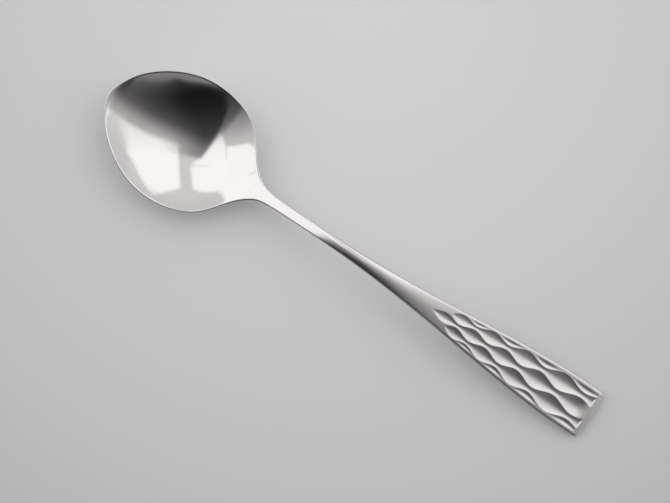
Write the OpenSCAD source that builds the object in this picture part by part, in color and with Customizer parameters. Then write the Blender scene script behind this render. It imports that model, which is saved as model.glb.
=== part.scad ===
// Soup spoon, pressed in one piece from a blank of stainless steel.
// The tip of the bowl points to -X and the end of the handle to +X.
// The spoon lies on Z = 0, on the back of its bowl and the end of its handle,
// and the origin is under the middle of its length.

/* [Overall] */
// Length from the tip of the bowl to the end of the handle
spoon_len = 180; // [160:1:210]

/* [Bowl] */
// Length of the bowl from its tip to the neck
bowl_len = 57; // [48:1:66]
// Width of the bowl across its rim
bowl_w = 41.5; // [34:0.1:50]
// Depth of the hollow below the sides of the rim
bowl_depth = 7.5; // [5:0.1:11]
// Thickness of the wall of the bowl and of its rim
bowl_wall = 1.3; // [1:0.05:2]
// Rise of the tip of the rim above its sides
tip_rise = 2.7; // [0:0.1:4]

/* [Neck] */
// Width of the neck
neck_w = 3.3; // [3:0.1:6]
// Thickness of the neck
neck_t = 2.9; // [2:0.1:4]
// Rise of the arch behind the neck above the sides of the rim
arch_rise = 6; // [3:0.1:9]

/* [Handle] */
// Width of the handle near its end
handle_w = 16.5; // [12:0.1:22]
// Thickness of the handle
handle_t = 2.3; // [1.8:0.1:3.2]
// Height of the crown along the middle of the handle
crown_h = 0.4; // [0.1:0.05:0.8]
// Radius of the corners of the handle, seen from above
corner_r = 1.3; // [0.8:0.1:2.5]
// Bulge of the end of the handle, seen from above
end_bulge = 0.4; // [0.1:0.1:1.2]

/* [Relief] */
// Depth of the groove where it is widest
groove_depth = 0.6; // [0.2:0.05:0.9]
// Width of the crest between two grooves
crest_w = 0.2; // [0.1:0.05:0.4]
// Number of swellings of the middle groove
swells = 5; // [3:1:7]
// Distance from the handle's end to the first swelling
first_swell = 56.3; // [45:0.1:65]
// Distance from the handle's end to the last swelling
last_swell = 6.1; // [4:0.1:12]
// Length of the pointed start of a groove
point_len = 3.7; // [2:0.1:6]
// Plain rim between the grooves and the handle's end
end_rim = 1.8; // [1.8:0.1:4]
// Run of the slope that closes the side grooves at the rim
end_slope = 0.5; // [0.3:0.1:1]
// Run of the scoop that closes the middle groove
scoop_len = 4; // [2:0.5:8]

/* [Hidden] */

// Height of the sides of the rim, and of the top of the arch
rim_h = bowl_depth + bowl_wall;
arch_h = rim_h + arch_rise;

// Bowl, tip to neck: place along it, half width, rise and stoutness
bowl_shares = [
    [0.02, 0.231, 1, 0],
    [0.08, 0.512, 0.92, 0],
    [0.2, 0.786, 0.66, 0],
    [0.35, 0.981, 0.26, 0],
    [0.5, 1.016, -0.02, 0],
    [0.64, 0.944, -0.18, 0],
    [0.76, 0.774, -0.3, 0],
    [0.86, 0.371, -0.3, 0.15],
    [0.94, 0.177, -0.15, 0.6],
];
// Handle, neck to end in equal steps: widening, arch, stoutness and crown
handle_shares = [
    [0.012, 0.532, 1, 0],
    [0, 0.704, 1, 0.1],
    [0, 0.872, 1, 0.4],
    [0.055, 0.984, 0.8, 0.8],
    [0.18, 0.984, 0.5, 1],
    [0.324, 0.88, 0.2, 1],
    [0.531, 0.72, 0, 0.9],
    [0.731, 0.536, 0, 0.8],
    [0.899, 0.352, 0, 0.7],
    [1.015, 0.172, 0, 0.6],
    [0.992, 0, 0, 0.5],
];
// Insets of the rounded upper and lower edges, as shares of the thickness
edge_share = 0.36;
back_share = 0.4;
// Inner and outer ridges and their swing, as shares of the half width
inner_share = 0.25;
outer_share = 0.72;
swing_share = 0.12;
// Plain border along each side, as a share of the half width
border_share = 0.155;
// Growth of the swellings towards the end
growth_share = 0.25;
// Least opening of a groove at its pointed start
point_share = 0.08;
// Delay of the side grooves behind the middle one, as a share of the point
lag_share = 1.57;
// Band of the face left between the rounded edge and the relief
band_share = 0.03;
// Share of a swelling that the middle groove passes before the crescents begin
crescent_share = 0.5;

// Fall of the upper edge where it meets the upright side
edge_fall = 55;
// Angles at which the rounded edges are stepped
edge_angles = [20, 38, edge_fall];
back_angles = [90, 45];
corner_angles = [0, 30, 60, 90];
// Rings that close the bulge of the end
end_rings = 3;
// Rings to one row of the tables, and rings along the relief
row_rings = 4;
relief_rings = 66;
// Strips across a groove, a crescent, and the plain back
groove_strips = 6;
crescent_strips = 2;
back_strips = 6;

// Blends two values
function mix(a, b, share) = a + (b - a) * share;
// Keeps a value between zero and one
function unit(v) = min(1, max(0, v));
// Rises from zero to one with no corner at either end
function ease(v) = unit(v) * unit(v) * (3 - 2 * unit(v));

// Rows of the smooth curves: place, half width, height, thickness, crown
handle_step = (spoon_len - bowl_len) / (len(handle_shares) - 1);
bowl_rows = [for (s = bowl_shares) [
    s[0] * bowl_len, s[1] * bowl_w / 2, rim_h + s[2] * tip_rise,
    mix(bowl_wall, neck_t, s[3]), 0]];
handle_rows = [for (i = [0:len(handle_shares) - 1]) let (s = handle_shares[i]) [
    bowl_len + i * handle_step, mix(neck_w, handle_w, s[0]) / 2,
    mix(handle_t, arch_h, s[1]), mix(handle_t, neck_t, s[2]), s[3] * crown_h]];
// The curve is its own mirror image at the tip, and runs straight at the end
first_row = bowl_rows[0];
mirrored_row = [first_row[0], -first_row[1], first_row[2], first_row[3], 0];
tip_row = [-first_row[0] / 2, 0, first_row[2], first_row[3], 0];
end_row = handle_rows[len(handle_rows) - 1];
beyond_row = 2 * end_row - handle_rows[len(handle_rows) - 2];
rows = concat([mirrored_row, tip_row], bowl_rows, handle_rows, [beyond_row]);

// Weights of four neighbouring rows in a smooth curve, and their slopes
function weights(f) = [
    pow(1 - f, 3), 3 * pow(f, 3) - 6 * f * f + 4,
    3 * f + 3 * f * f - 3 * pow(f, 3) + 1, pow(f, 3)] / 6;
function slopes(f) = [
    -pow(1 - f, 2), 3 * f * f - 4 * f, 1 + 2 * f - 3 * f * f, f * f] / 2;
function four(t) = let (i = min(floor(t), len(rows) - 4)) [
    rows[i], rows[i + 1], rows[i + 2], rows[i + 3]];
function part_of(t) = t - min(floor(t), len(rows) - 4);
function row_at(t) = weights(part_of(t)) * four(t);
function heading_at(t) = slopes(part_of(t)) * four(t);
// Place on the curve of a length along the handle
function turn_of(x) = len(bowl_rows) + 1 + (x - bowl_len) / handle_step;

// Places along the spoon where the relief starts and ends
relief_start = spoon_len - first_swell - point_len;
side_start = relief_start + point_len * lag_share;
relief_end = spoon_len - end_rim;

// Swellings passed at a place along the handle
function swell_at(x) = let (s = (x - spoon_len + first_swell) / (first_swell - last_swell))
    (swells - 1) * s * (1 + growth_share * (1 - s));
// Opening of a groove that starts in a point, with the face drawn in ahead of it
function opening(x, start) = x < start
    ? mix(1, point_share, ease(1 + (x - start) / point_len))
    : mix(point_share, 1, sqrt(1 - pow(1 - unit((x - start) / point_len), 2)));
// Edges of a groove: drawn together at its pointed start
function narrowed(a, b, open) = [mix((a + b) / 2, a, open), mix((a + b) / 2, b, open)];
// Share of the full depth that is left where the grooves start and end
function depth_left(x, start, run) = x < start ? 0 : ease((relief_end - x) / run);

// Grooves from one side to the other: outer edge, inner edge, depth, strips
function grooves(x, w, reach) = let (
    swing = swing_share * cos(360 * swell_at(x)),
    crest = crest_w / 2 / max(w, neck_w / 2),
    inner = inner_share + swing,
    outer = outer_share - swing,
    middle = narrowed(inner - crest, crest - inner, opening(x, relief_start)),
    side = narrowed(outer - crest, inner + crest, opening(x, side_start)),
    rim = min(reach - band_share, max(1 - border_share, outer + 2 * crest)),
    wide = groove_depth / ((inner_share + swing_share) * handle_w) * w,
    deep = wide * depth_left(x, side_start, end_slope),
    lens = (rim - outer - crest) / (1 - border_share - outer_share + swing_share),
    bow = swell_at(x) > crescent_share ? deep * lens : 0)
    [[rim, outer + crest, bow, crescent_strips],
     [side[0], side[1], deep, groove_strips],
     [middle[0], middle[1], wide * depth_left(x, relief_start, scoop_len), groove_strips],
     [-side[1], -side[0], deep, groove_strips],
     [-outer - crest, -rim, bow, crescent_strips]];

// Columns across the face: share of the half width, and depth of the relief
function columns(x, w, reach) = concat([[reach, 0]],
    [for (g = grooves(x, w, reach)) for (i = [0:g[3]]) let (f = i / g[3])
        [mix(g[0], g[1], f), g[2] * (g[0] - g[1]) * 4 * f * (1 - f)]],
    [[-reach, 0]]);
column_count = len(columns(spoon_len, handle_w, 1));

// A ring is [place, half width, height, thickness, crown, inward direction]
function side_ring(t) = let (r = row_at(t), h = heading_at(t), s = norm([h[0], h[1]]))
    [r[0], r[1], r[2], r[3], r[4], [h[1], -h[0]] / s];
corner_x = spoon_len - end_bulge - corner_r;
flat_w = row_at(turn_of(corner_x))[1] - corner_r;
function corner_ring(a) = let (x = corner_x + corner_r * sin(a), r = row_at(turn_of(x)))
    [x, flat_w + corner_r * cos(a), r[2], r[3], r[4], [-sin(a), -cos(a)]];
function end_ring(share) = let (h = [flat_w, 2 * end_bulge * share])
    [spoon_len - end_bulge * share * share, flat_w * share,
     end_row[2], end_row[3], end_row[4], -h / norm(h)];

plain_turns = [for (i = [0:floor(turn_of(relief_start) * row_rings) - 1]) i / row_rings];
relief_turns = [for (i = [0:relief_rings])
    turn_of(mix(relief_start, relief_end - end_slope, i / relief_rings))];
rings = concat(
    [for (t = plain_turns) side_ring(t)],
    [for (t = relief_turns) side_ring(t)],
    [side_ring(turn_of(relief_end))],
    [for (a = corner_angles) corner_ring(a)],
    [for (i = [end_rings - 1:-1:0]) end_ring(i / end_rings)]);
widest = max([for (r = rings) if (r[0] < bowl_len) r[1]]);

// Height of the pressed sheet at a share of the half width, before crown and relief
function pressed(r, q) = r[2] - bowl_depth
    * pow(r[1] / widest, 2) * (1 - q * q) * (1 - ease((r[0] - bowl_len) / bowl_len));

// A point of a ring: inset from the outline, on one side, at a height
function inset(r, d, side, z) = [r[0] + d * r[5][0], side * (r[1] + d * r[5][1]), z];
function edge_points(r, side, d) = let (radius = d / sin(edge_fall)) [for (a = edge_angles)
    inset(r, d - radius * sin(a), side, r[2] - radius * (1 - cos(a)))];
function back_points(r, side, d) = [for (a = back_angles)
    inset(r, d * (1 - sin(a)), side, r[2] - r[3] + d * (1 - cos(a)))];
function flipped(list) = [for (i = [len(list) - 1:-1:0]) list[i]];

// Points of a ring: face, right edge, back, left edge
function ring_points(r) = let (
    d = edge_share * r[3], b = back_share * r[3],
    in_w = r[1] + d * r[5][1], back_w = r[1] + b * r[5][1],
    reach = r[1] > 0 ? in_w / r[1] : 1)
    concat(
        [for (c = columns(r[0], r[1], reach)) let (q = c[0] / reach)
            [r[0] + d * r[5][0], c[0] * r[1], pressed(r, q) + r[4] * (1 - q * q) - c[1]]],
        edge_points(r, -1, d),
        back_points(r, -1, b),
        [for (i = [0:back_strips]) let (q = mix(-1, 1, i / back_strips))
            [r[0] + b * r[5][0], q * back_w, pressed(r, q) - r[3]]],
        flipped(back_points(r, 1, b)),
        flipped(edge_points(r, 1, d)));

all_points = [for (r = rings) each ring_points(r)];
lowest = min([for (p = all_points) p[2]]);
n = len(ring_points(rings[0]));
last = len(rings) - 1;
corners = len(edge_angles) + len(back_angles);

// The first and last rings are folded shut: each point stands for its mirror image
function folded(j) =
    j < column_count ? 0
    : j < column_count + corners ? n - 1 - (j - column_count)
    : j < column_count + corners + back_strips + 1 ? n - corners - 1
    : j;
function point_of(ring, j) = ring * n + (ring == 0 || ring == last ? folded(j % n) : j % n);
function facing(a, b, c) = a == b || b == c || a == c ? [] : [[a, b, c]];
skin = [for (i = [0:last - 1]) for (j = [0:n - 1]) let (
    a = point_of(i, j), b = point_of(i + 1, j), c = point_of(i + 1, j + 1), d = point_of(i, j + 1))
    each concat(facing(a, b, c), facing(a, c, d))];

module spoon() {
    color("silver")
        translate([-spoon_len / 2, 0, -lowest])
            polyhedron(points = all_points, faces = skin, convexity = 8);
}

spoon();
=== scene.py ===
"""Soup spoon of stainless steel, pressed in one piece, on a pale table beside windows.

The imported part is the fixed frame, and its one node is replaced here by the same
spoon in a finer mesh, with a rounded rim and its polished and struck finishes.
Sizes are in millimetres until a mesh is laid, and the tip of the bowl is at place 0.
"""
import logging
import math
from collections.abc import Mapping, Sequence
from dataclasses import dataclass
from enum import Enum

import bpy
import numpy as np
from mathutils import Matrix, Vector


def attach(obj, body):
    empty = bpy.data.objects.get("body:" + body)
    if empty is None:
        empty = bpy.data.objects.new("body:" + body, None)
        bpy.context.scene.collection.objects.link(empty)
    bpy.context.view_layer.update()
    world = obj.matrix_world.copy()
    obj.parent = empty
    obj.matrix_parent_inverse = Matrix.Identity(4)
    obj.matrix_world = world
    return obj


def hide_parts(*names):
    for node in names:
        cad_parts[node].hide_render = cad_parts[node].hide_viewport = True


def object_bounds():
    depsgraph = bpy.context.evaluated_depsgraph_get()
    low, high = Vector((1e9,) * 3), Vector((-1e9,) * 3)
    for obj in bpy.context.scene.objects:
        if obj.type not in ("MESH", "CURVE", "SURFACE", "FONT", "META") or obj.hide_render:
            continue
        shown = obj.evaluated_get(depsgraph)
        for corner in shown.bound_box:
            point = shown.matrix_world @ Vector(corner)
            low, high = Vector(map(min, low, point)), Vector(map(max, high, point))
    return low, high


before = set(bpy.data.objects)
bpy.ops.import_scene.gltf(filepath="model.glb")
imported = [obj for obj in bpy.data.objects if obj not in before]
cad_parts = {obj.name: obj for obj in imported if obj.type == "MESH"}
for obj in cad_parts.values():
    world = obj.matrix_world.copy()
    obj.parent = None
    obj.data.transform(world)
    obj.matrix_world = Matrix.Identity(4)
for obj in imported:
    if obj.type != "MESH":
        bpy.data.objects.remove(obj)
cad_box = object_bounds()

MM = 0.001
# The least width that is divided by, at the point of the tip
LEAST_WIDTH = 1e-9
LOG = logging.getLogger("soup_spoon")


class Sheet(Enum):
    """The sheets of mesh that close the spoon."""

    FACE = "face"
    BACK = "back"
    EDGE = "edge"


def blend(first: np.ndarray, second: np.ndarray, share: np.ndarray) -> np.ndarray:
    """Returns the values that lie a share of the way from the first to the second."""
    return first + (second - first) * share


def ease(values: np.ndarray) -> np.ndarray:
    """Returns values that rise from 0 to 1 with no corner at either end."""
    held = np.clip(values, 0, 1)
    return held * held * (3 - 2 * held)


def flips(values: np.ndarray) -> np.ndarray:
    """Returns factors that flip points seen from above where the value is negative."""
    return np.stack([np.ones(len(values)), np.where(values < 0, -1, 1)], axis=1)


def linear(hex_colour: str) -> tuple[float, float, float, float]:
    """Turns a written colour into the one that the shaders use.

    Args:
        hex_colour: The sRGB colour as #RRGGBB.

    Returns:
        The linear red, green and blue, and an alpha of 1.
    """
    # The sRGB curve is straight for the darkest shades, and a power above them
    codes = [int(hex_colour[i:i + 2], 16) / 255 for i in (1, 3, 5)]
    shades = [c / 12.92 if c <= 0.04045 else ((c + 0.055) / 1.055) ** 2.4 for c in codes]
    return (*shades, 1.0)


def add_node(
    tree: bpy.types.NodeTree, kind: str, feeds: Mapping[str | int, object] | None = None,
    **settings: object,
) -> bpy.types.Node:
    """Adds a node with its settings, values and links.

    Args:
        tree: The node tree that gets the node.
        kind: The node's type.
        feeds: What goes into each input, a socket or a value, by name or number.
        settings: The node's own settings.

    Returns:
        The new node.
    """
    node = tree.nodes.new(kind)
    for name, value in settings.items():
        setattr(node, name, value)
    for name, value in (feeds or {}).items():
        if isinstance(value, bpy.types.NodeSocket):
            tree.links.new(value, node.inputs[name])
        else:
            node.inputs[name].default_value = value
    return node


def calculate(
    tree: bpy.types.NodeTree, operation: str, *values: object,
) -> bpy.types.NodeSocket:
    """Returns the result of a calculation with numbers and sockets."""
    return add_node(
        tree, "ShaderNodeMath", dict(enumerate(values)), operation=operation).outputs[0]


def smooth_turn(
    tree: bpy.types.NodeTree, value: bpy.types.NodeSocket, span: tuple[float, float],
    ends: tuple[float, float] = (0.0, 1.0),
) -> bpy.types.NodeSocket:
    """Adds a node that turns smoothly from one value to another.

    Args:
        tree: The node tree that gets the node.
        value: What the turn follows.
        span: What it is at the start and at the end of the turn.
        ends: The results before and after the turn.

    Returns:
        The socket with the result.
    """
    feeds = {
        "Value": value, "From Min": span[0], "From Max": span[1],
        "To Min": ends[0], "To Max": ends[1]}
    return add_node(
        tree, "ShaderNodeMapRange", feeds, interpolation_type="SMOOTHSTEP").outputs["Result"]


@dataclass(frozen=True)
class SpoonSizes:
    """Sizes of the spoon in millimetres, and the shares that shape it."""

    length: float = 180.0
    bowl_length: float = 57.0
    bowl_width: float = 41.5
    bowl_depth: float = 7.5
    wall: float = 1.3
    tip_rise: float = 2.7
    neck_width: float = 3.3
    neck_thickness: float = 2.9
    arch_rise: float = 6.0
    handle_width: float = 16.5
    handle_thickness: float = 2.3
    crown: float = 0.19
    corner_radius: float = 1.3
    end_bulge: float = 0.4
    # Along the bowl: place, half width, rise of the tip, stoutness. The half widths here
    # and the widenings below follow a fit to the outline in the photograph
    bowl_shares: tuple[tuple[float, ...], ...] = (
        (0.02, 0.231, 1, 0), (0.08, 0.512, 0.92, 0), (0.2, 0.786, 0.66, 0),
        (0.35, 0.981, 0.26, 0), (0.5, 1.016, -0.02, 0), (0.64, 0.944, -0.18, 0),
        (0.76, 0.774, -0.3, 0), (0.86, 0.371, -0.3, 0.15), (0.94, 0.177, -0.15, 0.6),
    )
    # Along the handle in equal steps: widening, arch, stoutness, crown
    handle_shares: tuple[tuple[float, ...], ...] = (
        (0.012, 0.532, 1, 0), (0, 0.704, 1, 0.1), (0, 0.872, 1, 0.4),
        (0.055, 0.984, 0.8, 0.8), (0.18, 0.984, 0.5, 1), (0.324, 0.88, 0.2, 1),
        (0.531, 0.72, 0, 0.9), (0.731, 0.536, 0, 0.8), (0.899, 0.352, 0, 0.7),
        (1.015, 0.172, 0, 0.6), (0.992, 0, 0, 0.5),
    )
    # Insets of the rounded upper and lower edges, as shares of the thickness
    edge_share: float = 0.36
    back_share: float = 0.4
    # Fall of the upper edge where it meets the upright side, in degrees
    edge_fall: float = 55.0
    # Share of the bowl's depth within which polishing has rounded the inside of its rim
    rim_share: float = 0.03
    # The edges of the bowl and neck are crisp, with this share of the handle's rounding,
    # and the rest comes in between these two places
    crisp_share: float = 0.45
    crisp_to: float = 74.0
    round_from: float = 96.0


@dataclass(frozen=True)
class ReliefSizes:
    """Sizes of the struck relief in millimetres, and its shares of the half width."""

    groove_depth: float = 0.6
    crest_width: float = 0.2
    # Swellings of the middle groove, and how far the first and last are from the end
    swells: int = 5
    first_swell: float = 56.3
    last_swell: float = 6.1
    # Length of the point that a groove starts in
    point_length: float = 3.7
    # Plain rim at the handle's end, the slope of the side grooves down from it, and that
    # of the middle groove
    end_rim: float = 1.8
    end_slope: float = 0.5
    scoop_length: float = 4.0
    # Where the inner and outer crests run, how far they swing, and the plain border
    inner_share: float = 0.25
    outer_share: float = 0.72
    swing_share: float = 0.12
    border_share: float = 0.155
    # How much the first swellings are shorter than the last
    growth_share: float = 0.25
    # Width that is left ahead of a point, and how many points later the sides start
    point_share: float = 0.08
    lag_share: float = 1.57
    # Least band beside the border of the face
    band_share: float = 0.03
    # The crescents beside the outer crests: the swelling they start at, and their depth
    # as a multiple of the side grooves'
    crescent_share: float = 0.5
    crescent_depth: float = 1.4
    # How the grooves curve: 2 is a parabola, and less has straighter flanks
    groove_power: float = 1.8


class SpoonLine:
    """The smooth line that runs along the spoon and gives each place its section.

    It is a uniform cubic B-spline through rows of place, half width, height, thickness
    and crown.
    """

    # Turns at which the line is worked out beforehand, to find the turn of a place
    SAMPLES = 40001

    def __init__(self, sizes: SpoonSizes) -> None:
        """Lays the rows of the line out from the sizes.

        Args:
            sizes: The sizes of the spoon.
        """
        self.sizes = sizes
        bowl, handle = np.array(sizes.bowl_shares), np.array(sizes.handle_shares)
        rim = sizes.bowl_depth + sizes.wall
        step = (sizes.length - sizes.bowl_length) / (len(handle) - 1)
        bowl_rows = np.stack([
            bowl[:, 0] * sizes.bowl_length,
            bowl[:, 1] * sizes.bowl_width / 2,
            rim + bowl[:, 2] * sizes.tip_rise,
            blend(sizes.wall, sizes.neck_thickness, bowl[:, 3]),
            np.zeros(len(bowl)),
        ], axis=1)
        handle_rows = np.stack([
            sizes.bowl_length + np.arange(len(handle)) * step,
            blend(sizes.neck_width, sizes.handle_width, handle[:, 0]) / 2,
            blend(sizes.handle_thickness, rim + sizes.arch_rise, handle[:, 1]),
            blend(sizes.handle_thickness, sizes.neck_thickness, handle[:, 2]),
            handle[:, 3] * sizes.crown,
        ], axis=1)
        # Two rows before the tip start the line at place 0 with no width, and one row
        # beyond the handle ends it on the last one
        first = bowl_rows[0]
        mirrored = first * [1, -1, 1, 1, 1]
        tip = first * [-0.5, 0, 1, 1, 1]
        beyond = 2 * handle_rows[-1] - handle_rows[-2]
        self.rows = np.vstack([mirrored, tip, bowl_rows, handle_rows, beyond])
        self.turns = np.linspace(0, len(bowl) + len(handle), self.SAMPLES)
        self.track = self.at(self.turns)

    def _blended(self, turns: np.ndarray, weights: list[np.ndarray]) -> np.ndarray:
        """Returns four neighbouring rows added up with the given weights."""
        first = np.clip(np.floor(turns).astype(int), 0, len(self.rows) - 4)
        return sum(self.rows[first + i] * w[:, None] for i, w in enumerate(weights))

    def _part(self, turns: np.ndarray) -> np.ndarray:
        """Returns how far each turn lies past its row."""
        return turns - np.clip(np.floor(turns), 0, len(self.rows) - 4)

    def at(self, turns: np.ndarray) -> np.ndarray:
        """Gives the section at each turn of the line.

        Args:
            turns: How many rows along the line, from 0 at the tip.

        Returns:
            Place, half width, height, thickness and crown, one row for each turn.
        """
        f = self._part(turns)
        return self._blended(turns, [
            (1 - f) ** 3 / 6, (3 * f ** 3 - 6 * f * f + 4) / 6,
            (3 * f + 3 * f * f - 3 * f ** 3 + 1) / 6, f ** 3 / 6,
        ])

    def inward(self, turns: np.ndarray) -> np.ndarray:
        """Gives the direction into the spoon from its outline, seen from above.

        Args:
            turns: How many rows along the line, from 0 at the tip.

        Returns:
            The directions from the edge at positive Y, one row for each turn.
        """
        f = self._part(turns)
        slope = self._blended(turns, [
            -(1 - f) ** 2 / 2, (3 * f * f - 4 * f) / 2,
            (1 + 2 * f - 3 * f * f) / 2, f * f / 2,
        ])
        across = np.stack([slope[:, 1], -slope[:, 0]], axis=1)
        return across / np.linalg.norm(across, axis=1, keepdims=True)

    def turn_of(self, places: np.ndarray) -> np.ndarray:
        """Returns the turns at which the line passes the given places."""
        return np.interp(places, self.track[:, 0], self.turns)

    def rounding(self, rows: np.ndarray) -> np.ndarray:
        """Gives how much the edges of the metal are rounded.

        Args:
            rows: Rows of the line.

        Returns:
            The thickness of each row, or less of it where the edges are crisp.
        """
        sizes = self.sizes
        handle = ease((rows[:, 0] - sizes.crisp_to) / (sizes.round_from - sizes.crisp_to))
        return rows[:, 3] * blend(sizes.crisp_share, 1, handle)


@dataclass
class Edge:
    """A stretch of the outline, seen from above."""

    points: np.ndarray
    inward: np.ndarray
    rounding: np.ndarray

    def inset(self, share: float) -> np.ndarray:
        """Returns the stretch moved inwards by a share of its rounding."""
        return self.points + self.inward * self.rounding[:, None] * share

    def mirrored(self) -> "Edge":
        """Returns the same stretch on the other side of the spoon."""
        flip = np.array([1, -1])
        return Edge(self.points * flip, self.inward * flip, self.rounding)

    def part(self, keep: slice) -> "Edge":
        """Returns some of the stretch, in the order of the slice."""
        return Edge(self.points[keep], self.inward[keep], self.rounding[keep])

    @staticmethod
    def joined(stretches: Sequence["Edge"]) -> "Edge":
        """Gives several stretches as one.

        Args:
            stretches: The stretches, in the order in which they follow each other.

        Returns:
            The whole stretch.
        """
        return Edge(
            np.concatenate([stretch.points for stretch in stretches]),
            np.concatenate([stretch.inward for stretch in stretches]),
            np.concatenate([stretch.rounding for stretch in stretches]))


class Outline:
    """The outline of the spoon, in the stretches that bound its sheets."""

    def __init__(self, line: SpoonLine) -> None:
        """Works out where the corners of the handle are.

        Args:
            line: The line along the spoon.
        """
        self.line = line
        sizes = line.sizes
        self.corner_place = sizes.length - sizes.end_bulge - sizes.corner_radius
        corner = line.at(line.turn_of(np.array([self.corner_place])))[0]
        self.flat_width = corner[1] - sizes.corner_radius
        self.thickness = corner[3]

    def side(self, turns: np.ndarray) -> Edge:
        """Returns the edge at positive Y, at the given turns from the tip."""
        rows = self.line.at(turns)
        return Edge(rows[:, :2], self.line.inward(turns), self.line.rounding(rows))

    def tip(self, turns: np.ndarray) -> Edge:
        """Gives the edge round the tip.

        Args:
            turns: How many rows from the tip, and negative at negative Y.

        Returns:
            The edge at those turns.
        """
        side, flip = self.side(np.abs(turns)), flips(turns)
        return Edge(side.points * flip, side.inward * flip, side.rounding)

    def corner(self, angles: np.ndarray) -> Edge:
        """Gives the rounded corner of the handle at positive Y.

        Args:
            angles: Angles from the handle's side, in radians.

        Returns:
            The edge at those angles.
        """
        radius = self.line.sizes.corner_radius
        outward = np.stack([np.sin(angles), np.cos(angles)], axis=1)
        centre = np.array([self.corner_place, self.flat_width])
        return Edge(centre + radius * outward, -outward, np.full(len(angles), self.thickness))

    def end(self, shares: np.ndarray) -> Edge:
        """Gives the edge at the end of the handle, between the middles of its corners.

        Args:
            shares: Where across the edge, from -1 to 1.

        Returns:
            The edge from negative to positive Y.
        """
        sizes, flat = self.line.sizes, self.flat_width
        # Half of each corner belongs to the end, and the other half to the side
        across = shares * (flat + sizes.corner_radius * math.sqrt(0.5))
        share = np.clip(across / flat, -1, 1)
        bulge = np.stack([sizes.length - sizes.end_bulge * share ** 2, across], axis=1)
        inward = -np.stack([np.full(len(share), flat), 2 * sizes.end_bulge * share], axis=1)
        inward /= np.linalg.norm(inward, axis=1, keepdims=True)
        beyond = np.clip((np.abs(across) - flat) / sizes.corner_radius, 0, 1)
        round_corner = self.corner(np.arccos(beyond))
        flip = flips(across)
        on_corner = (np.abs(across) > flat)[:, None]
        return Edge(
            np.where(on_corner, round_corner.points * flip, bulge),
            np.where(on_corner, round_corner.inward * flip, inward),
            np.full(len(across), self.thickness),
        )


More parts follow.
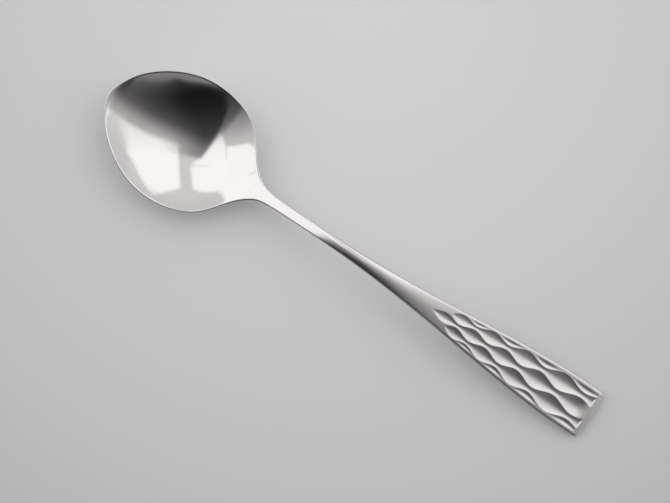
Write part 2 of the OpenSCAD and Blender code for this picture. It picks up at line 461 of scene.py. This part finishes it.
class Relief:
    """The wavy grooves struck into the face of the handle."""

    # Strips of mesh across the border, crescent, crest, side groove, crest and so on
    STRIPS = (3, 6, 2, 16, 2, 18, 2, 16, 2, 6, 3)
    # Least gap between the lines that bound them, as a share of the half width
    LINE_GAP = 0.004
    # How far the border keeps from the middle of the outer crest, in half crests: where
    # the face is wide enough for it, and at the least
    WANTED_ROOM = 2
    LEAST_ROOM = 1.5

    def __init__(self, sizes: ReliefSizes, spoon: SpoonSizes) -> None:
        """Works out where the relief starts and ends.

        Args:
            sizes: The sizes of the relief.
            spoon: The sizes of the spoon.
        """
        self.sizes, self.spoon = sizes, spoon
        self.start = spoon.length - sizes.first_swell - sizes.point_length
        self.side_start = self.start + sizes.point_length * sizes.lag_share
        self.end = spoon.length - sizes.end_rim

    def swell(self, places: np.ndarray) -> np.ndarray:
        """Counts the swellings of the middle groove, which grow longer to its end.

        Args:
            places: Places along the handle.

        Returns:
            How many swellings each place has passed.
        """
        sizes = self.sizes
        share = (places - self.spoon.length + sizes.first_swell) / (
            sizes.first_swell - sizes.last_swell)
        return (sizes.swells - 1) * share * (1 + sizes.growth_share * (1 - share))

    def opening(self, places: np.ndarray, start: float) -> np.ndarray:
        """Gives how far a groove that starts in a point has opened.

        Args:
            places: Places along the handle.
            start: The place of the point.

        Returns:
            Shares of the full width, drawn in ahead of the point.
        """
        sizes = self.sizes
        run = (places - start) / sizes.point_length
        drawn_in = blend(1, sizes.point_share, ease(1 + run))
        opened = blend(sizes.point_share, 1, np.sqrt(1 - (1 - np.clip(run, 0, 1)) ** 2))
        return np.where(places < start, drawn_in, opened)

    def depth_left(self, places: np.ndarray, start: float, run: float) -> np.ndarray:
        """Gives how deep a groove is between its start and its end.

        Args:
            places: Places along the handle.
            start: The place where the groove starts.
            run: The length over which it closes.

        Returns:
            Shares of the full depth.
        """
        return np.where(places < start, 0, ease((self.end - places) / run))

    def columns(
        self, places: np.ndarray, half_widths: np.ndarray, reaches: np.ndarray,
    ) -> tuple[np.ndarray, np.ndarray]:
        """Gives where the columns of the mesh run, and how deep the metal is struck.

        Args:
            places: Places along the handle, one for each row of the mesh.
            half_widths: Half the width of the spoon at each place.
            reaches: The half width of the face as a share of the half width.

        Returns:
            Shares of the half width of the face from -1 to 1, and depths, both with a
            row for each place and a column for each line of the mesh.
        """
        sizes = self.sizes
        swing = sizes.swing_share * np.cos(2 * np.pi * self.swell(places))
        crest = sizes.crest_width / 2 / np.maximum(half_widths, self.spoon.neck_width / 2)
        inner, outer = sizes.inner_share + swing, sizes.outer_share - swing
        middle = (inner - crest) * self.opening(places, self.start)
        side_open = self.opening(places, self.side_start)
        side_mid = (outer + inner) / 2
        side_half = ((outer - inner) / 2 - crest) * side_open
        rim = np.minimum(
            reaches - sizes.band_share,
            np.maximum(1 - sizes.border_share, outer + self.WANTED_ROOM * crest))
        marks = np.stack(
            [middle, side_mid - side_half, side_mid + side_half, outer + crest,
             np.maximum(rim, outer + self.LEAST_ROOM * crest), reaches], axis=1)
        # No line passes the next one, or the border of the face
        gaps = self.LINE_GAP * np.arange(marks.shape[1])[::-1]
        marks = np.minimum(marks, reaches[:, None] - gaps)
        marks = np.hstack([-marks[:, ::-1], marks])
        wide = sizes.groove_depth * half_widths / (
            (sizes.inner_share + sizes.swing_share) * self.spoon.handle_width)
        deep = wide * self.depth_left(places, self.side_start, sizes.end_slope)
        lens = np.maximum(rim - outer - crest, 0) / (
            1 - sizes.border_share - sizes.outer_share + sizes.swing_share)
        bow = np.where(
            self.swell(places) > sizes.crescent_share, deep * lens * sizes.crescent_depth, 0)
        scoop = wide * self.depth_left(places, self.start, sizes.scoop_length)
        none = np.zeros(len(places))
        depths = np.stack(
            [none, bow, none, deep, none, scoop, none, deep, none, bow, none], axis=1)
        shares, drops = [marks[:, :1]], [none[:, None]]
        for i, strips in enumerate(self.STRIPS):
            f = np.arange(1, strips + 1) / strips
            width = marks[:, i + 1:i + 2] - marks[:, i:i + 1]
            shares.append(marks[:, i:i + 1] + width * f)
            curve = 1 - np.abs(2 * f - 1) ** sizes.groove_power
            drops.append(depths[:, i:i + 1] * width * curve)
        return np.hstack(shares) / reaches[:, None], np.hstack(drops)


class Pressing:
    """Heights of the pressed face and back over the plan of the spoon."""

    def __init__(self, outline: Outline) -> None:
        """Finds the widest place of the bowl and the insets of both sheets.

        Args:
            outline: The outline of the spoon.
        """
        self.line = outline.line
        sizes = self.line.sizes
        bowl = self.line.track[:, 0] < sizes.bowl_length
        self.widest = self.line.track[bowl, 1].max()
        side = outline.side(self.line.turns)
        self.insets = {
            Sheet.FACE: side.inset(sizes.edge_share), Sheet.BACK: side.inset(sizes.back_share)}

    def height(self, sheet: Sheet, plan: np.ndarray) -> np.ndarray:
        """Gives the height of a sheet, before the relief is struck.

        Args:
            sheet: The face or the back.
            plan: Points seen from above.

        Returns:
            The height of each point.
        """
        sizes, inset = self.line.sizes, self.insets[sheet]
        turns = np.interp(plan[..., 0], inset[:, 0], self.line.turns)
        half = np.interp(turns, self.line.turns, inset[:, 1])
        rows = self.line.at(turns.ravel()).reshape(turns.shape + (-1,))
        across = np.clip(plan[..., 1] / np.maximum(half, LEAST_WIDTH), -1, 1) ** 2
        fade = 1 - ease((rows[..., 0] - sizes.bowl_length) / sizes.bowl_length)
        hollow, soft = (rows[..., 1] / self.widest) ** 2 * (1 - across), sizes.rim_share
        rounded = np.where(hollow < soft, hollow ** 2 / 2 / soft, hollow - soft / 2)
        pressed = rows[..., 2] - sizes.bowl_depth * rounded / (1 - soft / 2) * fade
        if sheet is Sheet.FACE:
            return pressed + rows[..., 4] * (1 - across)
        return pressed - rows[..., 3]


@dataclass(frozen=True)
class StainlessSteel:
    """Stainless steel, rolled, pressed and polished.

    The wheel leaves the bowl close to a mirror, with faint lines along the spoon, and
    the handle softer, so that it shows light and shade and no clear reflections.
    """

    name: str = "polished_stainless_steel"
    colour: str = "#CECACA"
    line_colour: str = "#C5C1C1"
    bowl_roughness: float = 0.1
    handle_roughness: float = 0.36
    # The finish softens over this stretch of the neck
    soften_from: float = 84.0
    soften_to: float = 122.0
    # Polishing lines are a few hundredths of a millimetre apart, drawn coarser to show
    line_pitch: float = 0.45
    line_length: float = 14.0
    line_depth: float = 0.0024
    line_detail: float = 3.0
    line_breakup: float = 0.6
    # The handle has a fine grain instead of a mirror's skin
    grain_pitch: float = 0.25
    grain_depth: float = 0.0012
    grain_detail: float = 2.0

    def material(self) -> bpy.types.Material:
        """Makes the material.

        Returns:
            The new material, which reads the object's own coordinates.
        """
        made = bpy.data.materials.new(self.name)
        made.use_nodes = True
        tree = made.node_tree
        tree.nodes.clear()
        place = add_node(tree, "ShaderNodeTexCoord").outputs["Object"]
        apart = add_node(tree, "ShaderNodeSeparateXYZ", {0: place}).outputs["X"]
        tip = cad_box[0][0]
        handle = smooth_turn(
            tree, apart, (tip + self.soften_from * MM, tip + self.soften_to * MM))
        along, across = 1 / (self.line_length * MM), 1 / (self.line_pitch * MM)
        stretched = add_node(
            tree, "ShaderNodeMapping", {"Vector": place, "Scale": (along, across, across)},
        ).outputs["Vector"]
        lines = add_node(
            tree, "ShaderNodeTexNoise",
            {"Vector": stretched, "Scale": 1.0, "Detail": self.line_detail,
             "Roughness": self.line_breakup},
        ).outputs["Fac"]
        grain = add_node(
            tree, "ShaderNodeTexNoise",
            {"Vector": place, "Scale": 1 / (self.grain_pitch * MM),
             "Detail": self.grain_detail},
        ).outputs["Fac"]
        lined = add_node(
            tree, "ShaderNodeBump",
            {"Height": lines, "Strength": 1.0, "Distance": self.line_depth * MM},
        ).outputs["Normal"]
        grained = add_node(
            tree, "ShaderNodeBump",
            {"Height": calculate(tree, "MULTIPLY", grain, handle), "Strength": 1.0,
             "Distance": self.grain_depth * MM, "Normal": lined}).outputs["Normal"]
        colour = add_node(
            tree, "ShaderNodeMix",
            {"Factor": lines, "A": linear(self.colour), "B": linear(self.line_colour)},
            data_type="RGBA").outputs["Result"]
        roughness = add_node(
            tree, "ShaderNodeMapRange",
            {"Value": handle, "To Min": self.bowl_roughness, "To Max": self.handle_roughness},
        ).outputs["Result"]
        shader = add_node(
            tree, "ShaderNodeBsdfPrincipled",
            {"Base Color": colour, "Metallic": 1.0, "Roughness": roughness,
             "Normal": grained})
        add_node(tree, "ShaderNodeOutputMaterial", {"Surface": shader.outputs[0]})
        return made


@dataclass(frozen=True)
class PaleLaminate:
    """Pale grey laminate, pressed matt: an even table top, with a painted falloff of light
    that darkens it a little far off.
    """

    name: str = "pale_laminate"
    colour: str = "#DCDCDC"
    # Painted shade: the colour that the table darkens to far from the painted pool of light
    painted_shade_colour: str = "#ADADAD"
    roughness: float = 0.6
    # Painted shade: the table darkens over this distance from the painted pool of light at its
    # lightest place
    painted_shade_length: float = 314.0
    # Share of the look that is the colour itself, so that the shadow stays faint
    fill: float = 0.2

    def material(self, painted_light_centre: Vector) -> bpy.types.Material:
        """Makes the material.

        Args:
            painted_light_centre: The centre of the painted pool of light, where the table is
                lightest.

        Returns:
            The new material.
        """
        made = bpy.data.materials.new(self.name)
        made.use_nodes = True
        tree = made.node_tree
        tree.nodes.clear()
        place = add_node(tree, "ShaderNodeTexCoord").outputs["Object"]
        away = add_node(
            tree, "ShaderNodeVectorMath", {0: place, 1: painted_light_centre}, operation="DISTANCE",
        ).outputs["Value"]
        share = smooth_turn(tree, away, (0.0, self.painted_shade_length * MM))
        # The colour carries painted light: lightest at the painted pool of light, darker far
        # off
        colour = add_node(
            tree, "ShaderNodeMix",
            {"Factor": share, "A": linear(self.colour), "B": linear(self.painted_shade_colour)},
            data_type="RGBA").outputs["Result"]
        lit = add_node(
            tree, "ShaderNodeBsdfPrincipled",
            {"Base Color": colour, "Roughness": self.roughness}).outputs[0]
        plain = add_node(tree, "ShaderNodeEmission", {"Color": colour}).outputs[0]
        ray = add_node(tree, "ShaderNodeLightPath").outputs
        seen = 0.0
        for kind in ("Is Camera Ray", "Is Glossy Ray", "Is Transmission Ray"):
            seen = calculate(tree, "MAXIMUM", ray[kind], seen)
        filled = calculate(tree, "MULTIPLY", seen, self.fill)
        both = add_node(tree, "ShaderNodeMixShader", {0: filled, 1: lit, 2: plain}).outputs[0]
        add_node(tree, "ShaderNodeOutputMaterial", {"Surface": both})
        return made


@dataclass
class Spoon:
    """The spoon: bowl, neck and handle, pressed from one blank."""

    sizes: SpoonSizes
    relief_sizes: ReliefSizes
    finish: StainlessSteel
    # The patch at the tip: the turns of its first and last row, its number of rows, and
    # how much they crowd towards the tip
    tip_turn: float = 1.6
    patch_turn: float = 3.5
    patch_rows: int = 34
    patch_crowding: float = 1.5
    # Place from which the columns start to follow the relief
    even_to: float = 75.0
    # Length of a row of the mesh in the bowl, the shank and the relief, and the number
    # of rows in the slope at the relief's end and beyond it
    bowl_row: float = 0.6
    shank_row: float = 0.8
    relief_row: float = 0.25
    slope_rows: int = 4
    end_rows: int = 8
    # How much the columns crowd towards the rim of the bowl
    crowding: float = 0.85
    # Steps of the mesh in the upper edge, the upright side and the lower edge
    edge_steps: int = 8
    side_steps: int = 2
    back_steps: int = 6
    # Points of two sheets that are closer than this are the same point
    weld_gap: float = 0.001

    def __post_init__(self) -> None:
        """Lays out the line, the outline, the pressing and the relief."""
        self.line = SpoonLine(self.sizes)
        self.outline = Outline(self.line)
        self.pressing = Pressing(self.outline)
        self.relief = Relief(self.relief_sizes, self.sizes)

    def row_turns(self) -> np.ndarray:
        """Places the rows that run straight across the spoon, closest in the relief.

        Returns:
            The turn of each row.
        """
        relief, patch = self.relief, self.line.at(np.array([self.patch_turn]))[0, 0]
        slope = relief.end - self.relief_sizes.end_slope
        stretches = [
            (patch, self.even_to, self.bowl_row), (self.even_to, relief.start, self.shank_row),
            (relief.start, slope, self.relief_row),
            (slope, relief.end, self.relief_sizes.end_slope / self.slope_rows)]
        places = [np.linspace(a, b, round((b - a) / step), endpoint=False)
                  for a, b, step in stretches]
        return self.line.turn_of(np.concatenate([*places, [relief.end]]))

    def side_edge(self) -> tuple[Edge, int, int]:
        """Gives the edge at positive Y for every row of the sheets.

        Returns:
            The edge, and the numbers of the first and last row that run straight across.
        """
        share = np.linspace(0, 1, self.patch_rows + 1)[:-1] ** self.patch_crowding
        patch = blend(self.tip_turn, self.patch_turn, share)
        straight = self.outline.side(np.concatenate([patch, self.row_turns()]))
        run = self.outline.corner_place - self.relief.end
        around = self.sizes.corner_radius * math.pi / 4
        steps = np.linspace(0, run + around, self.end_rows + 1)[1:]
        before = self.outline.side(self.line.turn_of(self.relief.end + steps[steps < run]))
        corner = self.outline.corner((steps[steps >= run] - run) / self.sizes.corner_radius)
        whole = Edge.joined([straight, before, corner])
        return whole, self.patch_rows, len(straight.points) - 1

    def columns(self, places: np.ndarray, edge: Edge) -> tuple[np.ndarray, np.ndarray]:
        """Gives the columns of the face and the depth of the relief.

        Args:
            places: The place of each row.
            edge: The edge at positive Y at those rows.

        Returns:
            Shares of the half width of the face, and depths.
        """
        inset = edge.inset(self.sizes.edge_share)
        half, start = edge.points[:, 1], self.relief.start
        shares, drops = self.relief.columns(
            np.maximum(places, start), half, inset[:, 1] / half)
        drops[places < start] = 0
        even = np.linspace(-1, 1, shares.shape[1])
        even = blend(even, np.sin(np.pi / 2 * even), self.crowding)
        follow = ease((places - self.even_to) / (self.relief.start - self.even_to))
        return blend(even, shares, follow[:, None]), drops

    def patch(
        self, first: np.ndarray, last: np.ndarray, side: np.ndarray, across: np.ndarray,
        along: np.ndarray,
    ) -> np.ndarray:
        """Fills a plan patch between two rows and the sides of the spoon.

        Args:
            first: The points of its first row.
            last: The points of its last row.
            side: The points of its side at positive Y.
            across: The share of the width at each column.
            along: The share of the length at each row.

        Returns:
            The points of the patch by row and column.
        """
        u, v = across[None, :, None], along[:, None, None]
        other = side * [1, -1]
        ruled = blend(first[None], last[None], v) + blend(other[:, None], side[:, None], u)
        corners = blend(
            blend(first[0], first[-1], u), blend(last[0], last[-1], u), v)
        return ruled - corners

    def plan(self, share: float) -> tuple[np.ndarray, np.ndarray]:
        """Lays the rows and columns of a sheet out, seen from above.

        Args:
            share: How far the sheet is inset from the outline, as a share of the thickness.

        Returns:
            The points by row and column, and the depth of the relief.
        """
        edge, first, last = self.side_edge()
        side = edge.inset(share)
        rows, depths = self.columns(edge.points[:, 0], edge)
        points = np.stack([np.repeat(side[:, :1], rows.shape[1], axis=1),
                           rows * side[:, 1:]], axis=2)
        even = np.linspace(-1, 1, rows.shape[1])
        tip = self.outline.tip(self.tip_turn * even).inset(share)
        end = self.outline.end(rows[last]).inset(share)
        along = np.linspace(0, 1, self.patch_rows + 1) ** self.patch_crowding
        points[:first + 1] = self.patch(
            tip, points[first], side[:first + 1], (rows[first] + 1) / 2, along)
        points[last:] = self.patch(
            points[last], end, side[last:], (rows[last] + 1) / 2,
            np.linspace(0, 1, self.end_rows + 1))
        depths[:first + 1] = 0
        depths[last:] = 0
        return points, depths

    def sheets(self) -> dict[Sheet, np.ndarray]:
        """Lays out the face, the back and the edge that joins them.

        Returns:
            The points of each sheet, by row and column.
        """
        made = {}
        for sheet, share in (
                (Sheet.FACE, self.sizes.edge_share), (Sheet.BACK, self.sizes.back_share)):
            plan, depths = self.plan(share)
            height = self.pressing.height(sheet, plan)
            if sheet is Sheet.FACE:
                height = height - depths
            made[sheet] = np.concatenate([plan, height[..., None]], axis=2)
        made[Sheet.EDGE] = self.edge(self.walk(made[Sheet.FACE]), self.walk(made[Sheet.BACK]))
        return made

    def walk(self, grid: np.ndarray) -> np.ndarray:
        """Returns the border of a grid, from its first corner round and back to it."""
        return np.concatenate(
            [grid[0], grid[1:, -1], grid[-1, -2::-1], grid[-2::-1, 0]])

    def edge(self, upper: np.ndarray, lower: np.ndarray) -> np.ndarray:
        """Rounds the edge of the metal from the border of the face to that of the back.

        Args:
            upper: The border of the face.
            lower: The border of the back.

        Returns:
            The points of the edge, a row for each point of the border.
        """
        side, _, last = self.side_edge()
        columns, _ = self.columns(side.points[:, 0], side)
        tip = self.outline.tip(self.tip_turn * np.linspace(-1, 1, columns.shape[1]))
        end = self.outline.end(columns[last])
        border = Edge.joined([
            tip, side.part(slice(1, None)), end.part(slice(-2, None, -1)),
            side.mirrored().part(slice(-2, None, -1))])
        points, inward = border.points, border.inward
        rows = []
        fall = math.radians(self.sizes.edge_fall)
        # The upper edge starts at the slope that the crown leaves at the face's border
        crown = self.line.at(self.line.turn_of(points[:, 0]))[:, 4]
        half = np.maximum(np.abs(upper[:, 1]), self.sizes.neck_width / 2)
        lean = np.arctan(2 * crown / half) * np.abs(inward[:, 1])
        for start, share, first, last, steps, sign in (
                (upper, self.sizes.edge_share, lean, fall, self.edge_steps, -1),
                (lower, self.sizes.back_share, np.pi / 2, 0 * lean, self.back_steps, 1)):
            radius = border.rounding * share / np.abs(np.sin(last) - np.sin(first))
            flattest, steepest = np.minimum(first, last), np.maximum(first, last)
            for step in range(steps + 1):
                angle = blend(first, last, step / steps)
                reach = radius * (np.sin(steepest) - np.sin(angle))
                height = start[:, 2] + sign * radius * (np.cos(flattest) - np.cos(angle))
                rows.append(np.hstack([points + inward * reach[:, None], height[:, None]]))
        middle = [blend(rows[self.edge_steps], rows[self.edge_steps + 1], i / self.side_steps)
                  for i in range(1, self.side_steps)]
        rows[self.edge_steps + 1:self.edge_steps + 1] = middle
        rows[0], rows[-1] = upper, lower
        return np.stack(rows, axis=1)

    def laid(self, sheet: Sheet, points: np.ndarray) -> bpy.types.Object:
        """Adds a flat grid and lays it on a sheet's points.

        Args:
            sheet: Which sheet it is, for its name.
            points: Its points by row and column, in millimetres from the tip.

        Returns:
            The sheet's object.
        """
        rows, columns = points.shape[:2]
        bpy.ops.object.select_all(action="DESELECT")
        bpy.ops.mesh.primitive_grid_add(
            x_subdivisions=columns - 1, y_subdivisions=rows - 1, size=self.sizes.length * MM)
        grid = bpy.context.object
        grid.name = f"spoon_{sheet.value}"
        moved = points - [self.sizes.length / 2, 0, 0]
        grid.data.vertices.foreach_set("co", (moved * MM).ravel())
        grid.data.update()
        return grid

    def build(self) -> bpy.types.Object:
        """Makes the spoon's mesh.

        Returns:
            The closed and smooth spoon.
        """
        grids = [self.laid(sheet, points) for sheet, points in self.sheets().items()]
        bpy.ops.object.select_all(action="DESELECT")
        for grid in grids:
            grid.select_set(True)
        bpy.context.view_layer.objects.active = grids[0]
        bpy.ops.object.join()
        spoon = bpy.context.object
        spoon.name = spoon.data.name = "pressed_spoon"
        bpy.ops.object.mode_set(mode="EDIT")
        bpy.ops.mesh.select_all(action="SELECT")
        bpy.ops.mesh.remove_doubles(threshold=self.weld_gap * MM)
        bpy.ops.mesh.normals_make_consistent(inside=False)
        bpy.ops.object.mode_set(mode="OBJECT")
        bpy.ops.object.shade_smooth()
        return spoon

    def dress(self, spoon: bpy.types.Object) -> None:
        """Gives the spoon its finish, and puts it in place of its CAD node.

        Args:
            spoon: The spoon's object.
        """
        spoon.data.materials.clear()
        spoon.data.materials.append(self.finish.material())
        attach(spoon, "root")
        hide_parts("spoon")
        LOG.info("%s: %d faces", spoon.name, len(spoon.data.polygons))


@dataclass(frozen=True)
class Pane:
    """A part of the ceiling with straight edges, bright as a window or dark as a screen.

    The ceiling lies level, one unit above the spoon. Each edge has the way that it faces,
    in degrees from the picture's top towards its right, its distance from the point
    above the spoon, and its softness. The light is what a window adds, or the share of
    the light that a screen takes away.
    """

    name: str
    light: float
    edges: tuple[tuple[float, float, float], ...]


@dataclass(frozen=True)
class Room:
    """The soft light of the room: dark behind the camera, light at the windows.

    A fitting program found most of the edges and lights from the reflections in the
    photograph, and the rest were changed. They suit its view best.
    """

    windows: tuple[Pane, ...] = (
        Pane("wide_window", 0.6, (
            (-165, -0.073, 0.08), (124, 1.094, 0.01), (77, 1.732, 0.02), (-43, 0.679, 0.045),
            (-86, -0.194, 0.03))),
        Pane("lower_pane", 0.6, (
            (89, 0.011, 0.03), (30, 1.031, 0.05), (-106, 0.82, 0.05), (175, -0.472, 0.025))),
        Pane("upper_pane", 0.58, (
            (87, 0.03, 0.04), (-1, 0.437, 0.025), (-103, 0.8, 0.03), (181, 0.33, 0.1),
            (133, -0.305, 0.035))),
        Pane("side_window", 0.58, (
            (77, -0.84, 0.03), (32, 1.058, 0.05), (-105, 3.456, 0.27), (-176, 0.081, 0.035))),
    )
    screens: tuple[Pane, ...] = (
        Pane("camera_screen", 0.76, (
            (-53, 0.335, 0.018), (8, 0.25, 0.07), (-69, 0.806, 0.2), (77, 0.15, 0.6),
            (181, 2.015, 0.2))),
        Pane("room_corner", 0.58, ((152, 1.353, 0.29), (-40, 0.233, 0.08), (23, -0.15, 0.23))),
    )
    ceiling: Pane = Pane("ceiling", 1.0, (
        (122, 1.138, 0.025), (173, 2.075, 0.035), (1, 2.032, 0.59), (-94, 4.456, 1.52)))
    # The most light in the windows, also where two of them overlap
    brightest: float = 1.62
    # Light of the ceiling towards the picture's top, and towards its bottom
    far_light: float = 1.01
    near_light: float = 0.14
    # Its darkest way, as degrees round from the picture's top and down from overhead, and
    # the cosines to that way between which it darkens
    darkest: tuple[float, float] = (176.6, 98.0)
    darkens: tuple[float, float] = (-0.318, 0.728)
    # Light of the walls towards the bottom and the top, and how far a way leans to the
    # top where it starts and ends to turn
    near_wall: float = 0.24
    far_wall: float = 0.94
    wall_turns: tuple[float, float] = (-1.19, -0.09)
    # Ways that rise less than this meet the ceiling where this one does
    least_rise: float = 0.02
    # The light of the windows and walls has no tint
    colour: str = "#FFFFFF"


@dataclass(frozen=True)
class Studio:
    """The pale table, the light of the room and the camera."""

    room: Room = Room()
    # The top of the picture, in degrees from the spoon's +Y towards its tip
    turn: float = 33.968
    table_size: float = 6000.0
    # Centre of the painted pool of light, where the table is lightest, right of and above the
    # middle of the picture
    painted_light_centre: tuple[float, float] = (-0.7, 80.2)
    # The camera: its tilt in degrees, its place, its lens, and how near and far it sees
    camera_tilt: float = 1.0
    camera_distance: float = 627.2
    camera_right: float = -5.37
    camera_up: float = 1.35
    lens: float = 107.46
    nearest: float = 10.0
    farthest: float = 20000.0

    def turned(self, east: float, north: float, up: float) -> Vector:
        """Returns a direction of the picture, right, top and nearer, in the frame."""
        return Matrix.Rotation(math.radians(self.turn), 3, "Z") @ Vector((east, north, up))

    def add_table(self) -> None:
        """Adds the table top."""
        bpy.ops.object.select_all(action="DESELECT")
        bpy.ops.mesh.primitive_plane_add(size=self.table_size * MM)
        table = bpy.context.object
        table.name = "table_top"
        # The table's painted pool of light is centred here
        painted_light_centre = self.turned(*self.painted_light_centre, 0) * MM
        table.data.materials.append(PaleLaminate().material(painted_light_centre))

    def pane(
        self, tree: bpy.types.NodeTree, ceiling: bpy.types.NodeSocket, pane: Pane,
    ) -> bpy.types.NodeSocket:
        """Adds the nodes that find what lies in a pane.

        Args:
            tree: The world's node tree.
            ceiling: Where on the ceiling each direction points, right and towards the top.
            pane: The pane.

        Returns:
            The socket with 1 inside the pane and 0 outside it.
        """
        inside = 1.0
        for facing, distance, softness in pane.edges:
            way = math.radians(facing)
            beyond = add_node(
                tree, "ShaderNodeVectorMath",
                {0: ceiling, 1: (math.sin(way), math.cos(way), -distance)},
                operation="DOT_PRODUCT").outputs["Value"]
            within = smooth_turn(tree, beyond, (softness, -softness))
            inside = calculate(tree, "MULTIPLY", within, inside)
        LOG.info("%s: %d edges", pane.name, len(pane.edges))
        return inside

    def add_room(self) -> None:
        """Makes the world that lights the spoon."""
        room = self.room
        world = bpy.data.worlds.new("studio_room")
        bpy.context.scene.world = world
        world.use_nodes = True
        tree = world.node_tree
        tree.nodes.clear()
        look = add_node(tree, "ShaderNodeTexCoord").outputs["Generated"]
        seen = add_node(
            tree, "ShaderNodeMapping",
            {"Vector": look, "Rotation": (0, 0, -math.radians(self.turn))},
            vector_type="VECTOR").outputs["Vector"]
        parts = add_node(tree, "ShaderNodeSeparateXYZ", {0: seen}).outputs
        above = calculate(tree, "MAXIMUM", parts["Z"], room.least_rise)
        spread = calculate(tree, "DIVIDE", 1.0, above)
        ceiling = add_node(
            tree, "ShaderNodeVectorMath", {0: seen, "Scale": spread}, operation="SCALE",
        ).outputs["Vector"]
        azimuth, zenith = map(math.radians, room.darkest)
        darkest = (math.sin(azimuth) * math.sin(zenith), math.cos(azimuth) * math.sin(zenith),
                   math.cos(zenith))
        near = add_node(
            tree, "ShaderNodeVectorMath", {0: seen, 1: darkest}, operation="DOT_PRODUCT",
        ).outputs["Value"]
        light = smooth_turn(tree, near, room.darkens, (room.far_light, room.near_light))
        for window in room.windows:
            within = self.pane(tree, ceiling, window)
            light = calculate(tree, "MULTIPLY_ADD", within, window.light, light)
        light = calculate(tree, "MINIMUM", light, room.brightest)
        for screen in room.screens:
            within = self.pane(tree, ceiling, screen)
            left = calculate(tree, "MULTIPLY_ADD", within, -screen.light, 1.0)
            light = calculate(tree, "MULTIPLY", light, left)
        wall = smooth_turn(
            tree, parts["Y"], room.wall_turns, (room.near_wall, room.far_wall))
        strength = add_node(
            tree, "ShaderNodeMapRange",
            {"Value": self.pane(tree, ceiling, room.ceiling), "To Min": wall,
             "To Max": light}).outputs["Result"]
        back = add_node(
            tree, "ShaderNodeBackground", {"Color": linear(room.colour), "Strength": strength})
        add_node(tree, "ShaderNodeOutputWorld", {"Surface": back.outputs[0]})

    def add_camera(self) -> None:
        """Adds the camera at the photograph's angle, and makes it the scene's."""
        bpy.ops.object.camera_add()
        camera = bpy.context.object
        camera.name = "camera"
        tilt = math.radians(self.camera_tilt)
        right = self.turned(1, 0, 0)
        up = self.turned(0, math.cos(tilt), math.sin(tilt))
        back = right.cross(up)
        place = (back * self.camera_distance + right * self.camera_right
                 + up * self.camera_up) * MM
        turned = Matrix((right, up, back)).transposed().to_4x4()
        camera.matrix_world = Matrix.Translation(place) @ turned
        camera.data.lens = self.lens
        camera.data.clip_start = self.nearest * MM
        camera.data.clip_end = self.farthest * MM
        bpy.context.scene.camera = camera

    def build(self) -> None:
        """Adds everything round the spoon."""
        self.add_camera()
        self.add_table()
        self.add_room()
        bpy.context.scene.view_settings.view_transform = "Standard"
        LOG.info("studio: %d windows", len(self.room.windows))


def main() -> None:
    """Builds the studio and the spoon."""
    logging.basicConfig(level=logging.INFO, format="%(name)s %(message)s")
    Studio().build()
    spoon = Spoon(SpoonSizes(), ReliefSizes(), StainlessSteel())
    spoon.dress(spoon.build())


if __name__ == "__main__":
    main()
